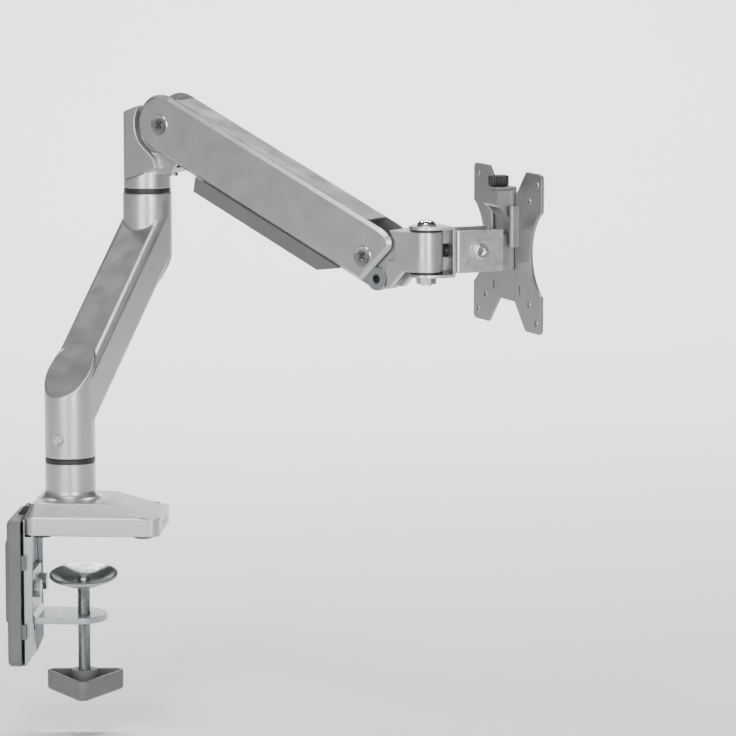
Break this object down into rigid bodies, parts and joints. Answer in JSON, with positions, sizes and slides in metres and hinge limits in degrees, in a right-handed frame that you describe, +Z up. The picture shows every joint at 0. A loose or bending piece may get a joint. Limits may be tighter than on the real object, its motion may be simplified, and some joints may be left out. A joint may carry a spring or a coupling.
{
  "type": "monitor arm",
  "caption": "Clamp-on gas spring monitor arm: leaning lower arm, parallelogram upper arm and a swivel, rotate and tilt head with a screen mounting plate.",
  "frame": {"origin": "on the post's axis, in the plane of the desk top under the base's pads", "axes": "+Z up, +X from the desk's edge over the desk, +Y to the left of that"},
  "size_m": [0.3939, 0.1718, 0.4384],
  "materials": {
    "silver_paint": "satin silver grey",
    "grey_plastic": "fine texture",
    "zinc_steel": "bright zinc plate",
    "head_steel": "satin zinc plate",
    "satin_plate": "satin grey",
    "chrome": "polished",
    "black_nylon": "plain",
    "black_rubber": "plain",
    "black_steel": "black oxide",
    "brass": "plain",
    "spring_paint": "gloss black"
  },
  "bodies": {
    "base": {"base_casting": "silver_paint", "base_pads": "black_rubber", "post_spindle": "zinc_steel", "base_washer": "black_nylon", "clamp_bracket": "zinc_steel", "bracket_screws": "black_steel", "back_cover": "grey_plastic", "cable_tab": "black_nylon", "clamp_jaw": "zinc_steel", "jaw_bolts": "zinc_steel"},
    "foot_ball": {"disc_retainer": "zinc_steel"},
    "foot_disc": {"pressure_disc": "zinc_steel"},
    "clamp_handle": {"clamp_screw": "zinc_steel", "clamp_knob": "grey_plastic"},
    "lower_arm": {"lower_arm": "silver_paint", "post_sleeve": "black_nylon", "elbow_sleeve": "black_nylon", "arm_set_screw": "chrome"},
    "elbow": {"elbow_knuckle": "silver_paint", "elbow_shaft": "zinc_steel", "elbow_washer": "black_nylon", "link_pins_rear": "black_steel"},
    "tension_screw": {"tension_screw": "zinc_steel"},
    "tension_nut": {"tension_nut": "brass", "spring_rear_pin": "zinc_steel"},
    "upper_arm": {"arm_housing": "silver_paint", "arm_under_cover": "grey_plastic", "rear_pivot_pin": "chrome", "front_pivot_pin": "chrome", "pivot_caps": "chrome", "spring_front_pin": "zinc_steel"},
    "links": {"lower_links": "zinc_steel"},
    "spring_tube": {"gas_spring_tube": "spring_paint"},
    "spring_rod": {"gas_spring_rod": "chrome"},
    "front_knuckle": {"front_knuckle": "silver_paint", "link_pins_front": "black_steel", "knuckle_washers": "black_nylon"},
    "swivel_head": {"swivel_bracket": "head_steel", "swivel_bolt": "chrome", "swivel_nut": "head_steel", "rotation_bolt": "black_steel", "rotation_nut": "head_steel"},
    "rotating_head": {"tilt_bracket": "head_steel", "tilt_bolt": "chrome", "tilt_nut": "head_steel", "tilt_washers": "head_steel"},
    "tilting_head": {"receiver_bracket": "satin_plate", "tilt_spacer": "head_steel"},
    "screen_plate": {"vesa_plate": "satin_plate"},
    "thumb_knob": {"thumb_knob": "black_nylon"}
  },
  "joints": [
    {"name": "clamp_travel", "type": "slide", "parent": "base", "child": "foot_ball", "axis": [0, 0, 1], "range_m": [-0.0155, 0.0275]},
    {"name": "clamp_turn", "type": "hinge", "parent": "foot_ball", "child": "clamp_handle", "pos_m": [0.009, 0, -0.06], "axis": [0, 0, 1], "range_deg": [-3600, 6480]},
    {"name": "foot_tilt", "type": "hinge", "parent": "foot_ball", "child": "foot_disc", "pos_m": [0.009, 0, -0.037], "axis": [1, 0, 0], "range_deg": [-15, 3]},
    {"name": "base_swivel", "type": "hinge", "parent": "base", "child": "lower_arm", "pos_m": [0, 0, 0.055], "axis": [0, 0, 1], "range_deg": [-180, 180]},
    {"name": "elbow_swivel", "type": "hinge", "parent": "lower_arm", "child": "elbow", "pos_m": [0.04568, 0.10259, 0.2425], "axis": [0, 0, 1], "range_deg": [-180, 180]},
    {"name": "tension_turn", "type": "hinge", "parent": "elbow", "child": "tension_screw", "pos_m": [0.06711, 0.08972, 0.265], "axis": [0, 0, 1], "range_deg": [-1090, 1090]},
    {"name": "tension_travel", "type": "slide", "parent": "elbow", "child": "tension_nut", "axis": [0, 0, 1], "range_m": [-0.0024, 0.0024]},
    {"name": "arm_lift", "type": "hinge", "parent": "elbow", "child": "upper_arm", "pos_m": [0.06548, 0.09069, 0.2934], "axis": [-0.515, -0.8572, 0], "range_deg": [-20, 60]},
    {"name": "link_rear", "type": "hinge", "parent": "elbow", "child": "links", "pos_m": [0.07422, 0.08544, 0.2772], "axis": [-0.515, -0.8572, 0], "range_deg": [-20, 60]},
    {"name": "spring_pivot", "type": "hinge", "parent": "tension_nut", "child": "spring_tube", "pos_m": [0.07225, 0.08662, 0.274], "axis": [-0.515, -0.8572, 0], "range_deg": [-25, 70]},
    {"name": "spring_stroke", "type": "slide", "parent": "spring_tube", "child": "spring_rod", "axis": [0.806, -0.4843, -0.3403], "range_m": [-0.009, 0.026]},
    {"name": "knuckle_level", "type": "hinge", "parent": "upper_arm", "child": "front_knuckle", "pos_m": [0.22405, -0.00459, 0.2069], "axis": [-0.515, -0.8572, 0], "range_deg": [-60, 20]},
    {"name": "head_pan", "type": "hinge", "parent": "front_knuckle", "child": "swivel_head", "pos_m": [0.26357, -0.02833, 0.212], "axis": [0, 0, 1], "range_deg": [-148, 32]},
    {"name": "head_rotate", "type": "hinge", "parent": "swivel_head", "child": "rotating_head", "pos_m": [0.27872, -0.02061, 0.212], "axis": [0.891, 0.454, 0], "range_deg": [-180, 180]},
    {"name": "head_tilt", "type": "hinge", "parent": "rotating_head", "child": "tilting_head", "pos_m": [0.29529, -0.01217, 0.212], "axis": [0.454, -0.891, 0], "range_deg": [-45, 45]},
    {"name": "plate_release", "type": "slide", "parent": "tilting_head", "child": "screen_plate", "axis": [0, 0, 1], "range_m": [0, 0.05]},
    {"name": "thumb_turn", "type": "hinge", "parent": "screen_plate", "child": "thumb_knob", "pos_m": [0.31436, -0.00245, 0.262], "axis": [0, 0, 1], "continuous": true}
  ],
  "couplings": [
    {"joint": "clamp_travel", "follows": "clamp_turn", "m_per_rad": 0.00023873},
    {"joint": "tension_turn", "follows": "tension_travel", "rad_per_m": -7854},
    {"joint": "link_rear", "follows": "arm_lift", "ratio": 1},
    {"joint": "knuckle_level", "follows": "arm_lift", "ratio": -1},
    {"joint": "spring_pivot", "follows": "arm_lift", "ratio": 1.048},
    {"joint": "spring_stroke", "follows": "arm_lift", "m_per_rad": 0.017762}
  ]
}
